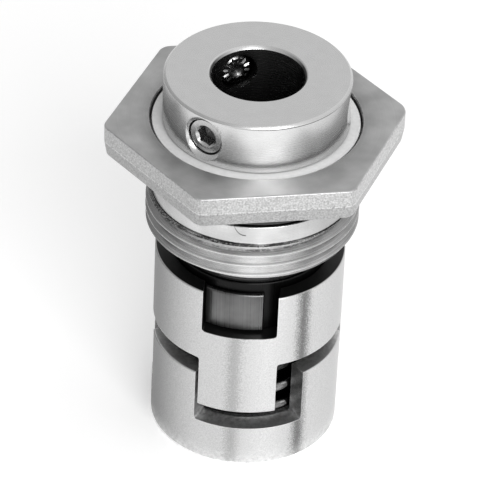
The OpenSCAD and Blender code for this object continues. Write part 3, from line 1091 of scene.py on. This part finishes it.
def make_cast_steel():
    """Carrier: cast flats with a coarse grain, all else turned, with a torn line over the thread, painted
    reflection bands on the neck and thread, and painted shade in hollows, near the collar and on the left
    flats.
    """
    made, tree, shader = new_material("cast_and_turned_steel", 1.0)
    radius, height, azimuth, upright = tree.place()
    lines = tree.effect(LATHE_LINES, **{"Lines per mm": 5.0})
    coarse = tree.effect(GRAIN, Size=0.22)
    cloud = tree.effect(GRAIN, Size=4.0)
    edge = tree.effect(WORN_EDGE_SHEEN, Reach=0.2)
    # Painted shade in hollows, all but the outer surfaces.
    free = tree.effect(RECESS_SHADE, Reach=3.0)
    free = tree.math("MAXIMUM", free, tree.spread(radius, OUTER_R - 0.1, OUTER_R + 0.1))
    flat = tree.times(tree.spread(radius, FLAT_R - 0.2, FLAT_R + 0.2), upright)
    below = tree.spread(height, GROOVE_MIDDLE_Z + 0.1, GROOVE_MIDDLE_Z - 0.1)

    lathed = tree.spread(lines, 0.2, 0.8, 0.50, 0.55)
    lathed = tree.times(lathed, tree.spread(cloud, 0.25, 0.75, 0.78, 1.12))
    lathed = tree.times(lathed, tree.mix(below, 1.0, 1.2))
    # Painted reflection bands on the neck and the thread.
    wall = tree.effect(TURNED_WALL)
    thread = tree.spread(height, NECK_Z + 0.4, NECK_Z)
    wall = tree.times(wall, tree.mix(thread, 1.0, wall))
    lathed = tree.times(lathed, tree.mix(below, 1.0, wall))
    # Painted shade on the hexagon's top, where the collar and the ring crowd it.
    crowded = tree.math("MAXIMUM", tree.effect(RECESS_SHADE, Reach=9.0, Closed=0.5), below)
    lathed = tree.times(lathed, tree.spread(crowded, 0.0, 1.0, 0.4, 1.0))

    wander = tree.times(tree.minus(cloud, 0.5), 1.1)
    seam = tree.apart(tree.plus(height, tree.times(wander, 0.2)), CREASE_Z)
    seam = tree.spread(seam, 0.16, 0.05)
    seam = tree.times(seam, tree.spread(coarse, 0.35, 0.55))
    cast = tree.spread(coarse, 0.3, 0.7, 0.36, 0.64)
    cast = tree.times(cast, tree.spread(height, CREASE_Z - 0.1, CREASE_Z + 0.3, 0.88, 1.08))
    # Its last factor is painted shade: the flats on the left are darker.
    cast = tree.times(tree.mix(seam, cast, 0.74), tree.spread(azimuth, -25.0, -10.0, 0.8, 1.0))

    shade = tree.mix(flat, lathed, cast)
    shade = tree.mix(tree.times(edge, tree.spread(coarse, 0.4, 0.6)), shade, 0.75)
    torn = tree.plus(tree.times(tree.minus(coarse, 0.5), 1.2), wander)
    torn = tree.plus(tree.minus(height, TORN_Z), torn)
    torn = tree.spread(tree.math("ABSOLUTE", torn), 0.28, 0.12)
    torn = tree.times(torn, tree.spread(coarse, 0.38, 0.46))
    shade = tree.mix(torn, shade, 0.08)
    shade = tree.mix(make_scratch(tree, height, azimuth), shade, 0.12)
    # Painted shade in the hollows.
    shade = tree.mix(free, 0.06, shade)
    turned_rough = tree.plus(tree.spread(lines, 0.2, 0.8, 0.22, 0.30), tree.mix(below, 0.28, 0.0))
    rough = tree.mix(flat, turned_rough, 0.42)
    bumps = tree.mix(flat, tree.times(lines, 0.0012), tree.times(coarse, 0.028))
    finish(tree, shader, shade, rough, bumps)
    return made


# The height in mm above which the sleeve's inner faces are painted dark as shade
HOLLOW_Z = 20.6


def make_blasted_steel():
    """Drive sleeve and cup: fine blasting with painted reflection bands, painted shade in hollows and
    inside the sleeve, and bright edges.
    """
    made, tree, shader = new_material("blasted_steel", 1.0)
    radius, height, _, upright = tree.place()
    grain = tree.effect(GRAIN, Size=0.16)
    edge = tree.effect(WORN_EDGE_SHEEN, Reach=0.18)
    free = tree.effect(RECESS_SHADE, Reach=5.0, Closed=0.15)
    # Painted reflection bands on the upright walls.
    bands = tree.effect(BLASTED_WALL, Grain=grain)
    shade = tree.times(tree.spread(grain, 0.25, 0.75, 0.51, 0.70), tree.mix(upright, 1.0, bands))
    # Painted shade in hollows: lighter low in the notches, darker towards the cup's rim, in coarse patches.
    coarse = tree.effect(GRAIN, Size=0.6)
    deep = tree.spread(height, NOTCH_Z + 0.5, CUP_TOP_Z - 0.5, 1.35, 0.65)
    deep = tree.times(deep, tree.spread(coarse, 0.35, 0.65, 0.45, 0.8))
    shade = tree.mix(free, deep, shade)
    shade = tree.mix(edge, shade, 0.85)
    # Painted shade: above HOLLOW_Z, all of the sleeve but its outer wall goes nearly black.
    inside = tree.spread(radius, DRIVE_R - 0.08, DRIVE_R - 0.2)
    inside = tree.times(inside, tree.spread(height, HOLLOW_Z, HOLLOW_Z + 0.3))
    shade = tree.mix(inside, shade, 0.05)
    rough = tree.mix(free, 0.5, tree.spread(grain, 0.25, 0.75, 0.28, 0.42))
    finish(tree, shader, shade, rough, tree.times(grain, 0.010))
    return made


def make_ring_steel():
    """Rotating ring: dark, ground up and down, with a painted reflection lighter at each lug's foot and
    painted shade on the body and in gaps.
    """
    made, tree, shader = new_material("dark_ground_steel", 1.0)
    radius, height, _, _ = tree.place()
    lines = tree.effect(UPRIGHT_LINES, **{"Lines per mm": 6.0})
    edge = tree.effect(WORN_EDGE_SHEEN, Reach=0.12)
    cloud = tree.effect(GRAIN, Size=3.0)
    # Painted shade in gaps.
    free = tree.effect(RECESS_SHADE, Reach=0.6)
    shade = tree.spread(lines, 0.25, 0.75, 0.11, 0.16)
    shade = tree.times(shade, tree.spread(cloud, 0.3, 0.7, 0.8, 1.2))
    # Painted reflection: each lug lighter at its foot than at its top.
    shade = tree.times(shade, tree.spread(height, LUG_Z, LUG_TOP_Z, 1.4, 0.9))
    shade = tree.mix(edge, shade, 0.35)
    # Painted shade: the ring's body behind the lugs goes nearly black.
    shade = tree.mix(tree.spread(radius, RING_R + 0.1, RING_R + 0.3), 0.018, shade)
    shade = tree.mix(free, 0.01, shade)
    rough = tree.spread(lines, 0.25, 0.75, 0.25, 0.4)
    finish(tree, shader, shade, rough, tree.times(lines, 0.002))
    return made


# The height in mm above which the coils are painted dark as shade
UPPER_COILS_Z = 13.0


def make_bright_steel(name, shade_low, shade_high, rough_middle, reach, deep):
    """Spring wire and screws: drawn or rolled bright, with painted shade in recesses, on the lower half of
    each screw's point in the bore and on the upper coils.
    """
    made, tree, shader = new_material(name, 1.0)
    grain = tree.effect(GRAIN, Size=0.3)
    edge = tree.effect(WORN_EDGE_SHEEN, Reach=0.1)
    free = tree.effect(RECESS_SHADE, Reach=reach)
    radius, height, _, _ = tree.place()
    shade = tree.spread(grain, 0.25, 0.75, shade_low, shade_high)
    shade = tree.mix(edge, shade, 0.8)
    # Painted shade in recesses.
    shade = tree.mix(free, deep, shade)
    # Painted shade on the lower half of each screw's point in the bore, and on the spring's upper coils.
    point = tree.spread(radius, BORE_R + 0.7, BORE_R + 0.5)
    point = tree.times(point, tree.spread(height, SCREW_Z + 0.4, SCREW_Z))
    coils = tree.spread(height, UPPER_COILS_Z - 0.4, UPPER_COILS_Z + 0.4)
    coils = tree.times(coils, tree.spread(height, WEB_Z + 1.0, WEB_Z))
    shade = tree.mix(tree.math("MAXIMUM", point, coils), shade, 0.04)
    rough = tree.spread(grain, 0.25, 0.75, rough_middle - 0.05, rough_middle + 0.05)
    finish(tree, shader, shade, rough, tree.times(grain, 0.002))
    return made


def make_hard_face():
    """Dark carbide, lapped to a dull mirror."""
    made, tree, shader = new_material("lapped_carbide", 0.0)
    lines = tree.effect(LATHE_LINES, **{"Lines per mm": 14.0})
    grain = tree.effect(GRAIN, Size=0.1)
    shade = tree.spread(grain, 0.3, 0.7, 0.012, 0.03)
    rough = tree.spread(lines, 0.3, 0.7, 0.10, 0.18)
    finish(tree, shader, shade, rough, tree.times(lines, 0.0004))
    return made


def make_rubber():
    """Black sealing rings, matte with a faint bloom."""
    made, tree, shader = new_material("black_rubber", 0.0)
    grain = tree.effect(GRAIN, Size=0.2)
    bloom = tree.effect(GRAIN, Size=2.5)
    shade = tree.spread(grain, 0.3, 0.7, 0.010, 0.018)
    shade = tree.times(shade, tree.spread(bloom, 0.3, 0.7, 0.8, 1.6))
    rough = tree.spread(bloom, 0.3, 0.7, 0.45, 0.6)
    finish(tree, shader, shade, rough, tree.times(grain, 0.004))
    return made


def make_white_plastic():
    """Bearing ring: turned white plastic, with painted shade where it meets the steel."""
    made, tree, shader = new_material("white_plastic", 0.0)
    lines = tree.effect(LATHE_LINES, **{"Lines per mm": 4.0})
    grain = tree.effect(GRAIN, Size=0.5)
    free = tree.effect(RECESS_SHADE, Reach=1.2)
    shade = tree.spread(grain, 0.25, 0.75, 0.68, 0.76)
    shade = tree.times(shade, tree.spread(lines, 0.2, 0.8, 0.97, 1.0))
    # Painted shade where the ring meets the steel.
    shade = tree.mix(free, 0.5, shade)
    rough = tree.spread(lines, 0.2, 0.8, 0.4, 0.5)
    finish(tree, shader, shade, rough, tree.times(lines, 0.003))
    return made


FINISH = {
    "turned_steel": make_turned_steel(),
    "cast_steel": make_cast_steel(),
    "blasted_steel": make_blasted_steel(),
    "ring_steel": make_ring_steel(),
    "spring_steel": make_bright_steel("drawn_steel", 0.3, 0.45, rough_middle=0.2, reach=6.0, deep=0.02),
    "screw_steel": make_bright_steel("bright_steel", 0.45, 0.6, rough_middle=0.25, reach=2.5, deep=0.13),
    "hard_face": make_hard_face(),
    "rubber": make_rubber(),
    "white_plastic": make_white_plastic(),
}
SLOT_OF = {row["node"]: row["material_slot"] for row in frame["record"]["subparts"]}


def dress(piece, node, body):
    """Gives the piece its node's finish, body and slot, in the node's place."""
    piece.data.materials.clear()
    piece.data.materials.append(FINISH[SLOT_OF[node]])
    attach(piece, body)
    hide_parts(node)


for node, cad in frame["nodes"].items():
    for i in range(len(cad.material_slots)):
        cad.material_slots[i].material = FINISH[SLOT_OF[node]]

dress(make_shaft_sleeve(), "shaft_sleeve", "shaft_unit")
for screw, node in place_set_screws(make_set_screw()):
    dress(screw, node, node.replace("set_screw", "screw"))
dress(make_seal_carrier(), "seal_carrier", "carrier_unit")
dress(make_bearing_ring(), "bearing_ring", "carrier_unit")
dress(make_rotating_ring(), "rotating_ring", "seal_head")
dress(make_drive_sleeve(), "drive_sleeve", "seal_head")
dress(make_spring_cup(), "spring_cup", "shaft_unit")
spring = make_coil_spring()
dress(spring, "coil_spring", "shaft_unit")
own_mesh(spring)

# The floor: its grey, how much it glows where it is seen, and its radius in metres
FLOOR_GREY = 0.88
FLOOR_LIFT = 0.22
FLOOR_REACH = 1.5


def make_pale_floor():
    """Diffuse, so it keeps the shadow, and lifted to white where the camera or bright metal sees it."""
    made = bpy.data.materials.new("pale_floor")
    made.use_nodes = True
    tree = Tree(made.node_tree)
    shader = made.node_tree.nodes["Principled BSDF"]
    shader.inputs["Base Color"].default_value = (FLOOR_GREY, FLOOR_GREY, FLOOR_GREY, 1)
    shader.inputs["Roughness"].default_value = 0.9
    shader.inputs["Emission Color"].default_value = (1, 1, 1, 1)
    path = tree.add("ShaderNodeLightPath")
    seen = tree.plus(path.outputs["Is Camera Ray"], path.outputs["Is Glossy Ray"])
    seen = tree.math("ADD", seen, path.outputs["Is Transmission Ray"], clamp=True)
    lift = tree.times(seen, FLOOR_LIFT)
    tree.link(lift, shader.inputs["Emission Strength"])
    return made


deselect()
bpy.ops.mesh.primitive_circle_add(vertices=96, radius=FLOOR_REACH, fill_type="NGON")
floor = bpy.context.object
floor.name = "floor"
floor.data.materials.append(make_pale_floor())

# Light of the surroundings, darker on the left than on the right
WORLD_LEFT = 0.45
WORLD_RIGHT = 0.95
WORLD_BACK = 0.05


def make_world():
    """Surroundings whose light grows from left to right."""
    made = bpy.data.worlds.new("studio")
    made.use_nodes = True
    tree = Tree(made.node_tree)
    way = tree.add("ShaderNodeTexCoord").outputs["Generated"]
    axes = tree.add("ShaderNodeSeparateXYZ", {0: way})
    light = tree.spread(axes.outputs["X"], -1.0, 1.0, WORLD_LEFT, WORLD_RIGHT)
    light = tree.plus(light, tree.times(axes.outputs["Y"], WORLD_BACK))
    tree.link(light, made.node_tree.nodes["Background"].inputs["Color"])
    return made


SCENE.world = make_world()


def lamp(name, place, size, power, aim):
    """A square lamp at a place, turned towards its aim, in metres and watts."""
    light = bpy.data.lights.new(name, "AREA")
    light.shape = "SQUARE"
    light.size = size
    light.energy = power
    holder = bpy.data.objects.new(name, light)
    SCENE.collection.objects.link(holder)
    way = Vector(aim) - Vector(place)
    holder.matrix_world = Matrix.Translation(place) @ way.to_track_quat("-Z", "Y").to_matrix().to_4x4()
    return holder


lamp("key", place=(0.2, -0.6, 0.45), size=0.4, power=3.6, aim=(0, 0, 0.03))

# The camera that was fitted to the photograph: its focal length is in pixels
CAMERA_PLACE = (0, -0.42863, 0.34846)
YAW = radians(-0.186)
PITCH = radians(36.78)
ROLL = radians(2.586)
FOCAL_PIXELS = 4061.34
PHOTO_WIDTH = 480
SENSOR_WIDTH = 36


def place_camera():
    forward = Vector((sin(YAW) * cos(PITCH), cos(YAW) * cos(PITCH), -sin(PITCH)))
    level = Vector((cos(YAW), -sin(YAW), 0))
    above = level.cross(forward)
    right = cos(ROLL) * level + sin(ROLL) * above
    up = -sin(ROLL) * level + cos(ROLL) * above
    lens = bpy.data.cameras.new("camera")
    lens.sensor_fit = "HORIZONTAL"
    lens.sensor_width = SENSOR_WIDTH
    lens.lens = FOCAL_PIXELS / PHOTO_WIDTH * SENSOR_WIDTH
    lens.clip_start = 0.01
    camera = bpy.data.objects.new("camera", lens)
    SCENE.collection.objects.link(camera)
    turn = Matrix((right, up, -forward)).transposed().to_4x4()
    camera.matrix_world = Matrix.Translation(CAMERA_PLACE) @ turn
    SCENE.camera = camera


place_camera()
SCENE.view_settings.view_transform = "Standard"
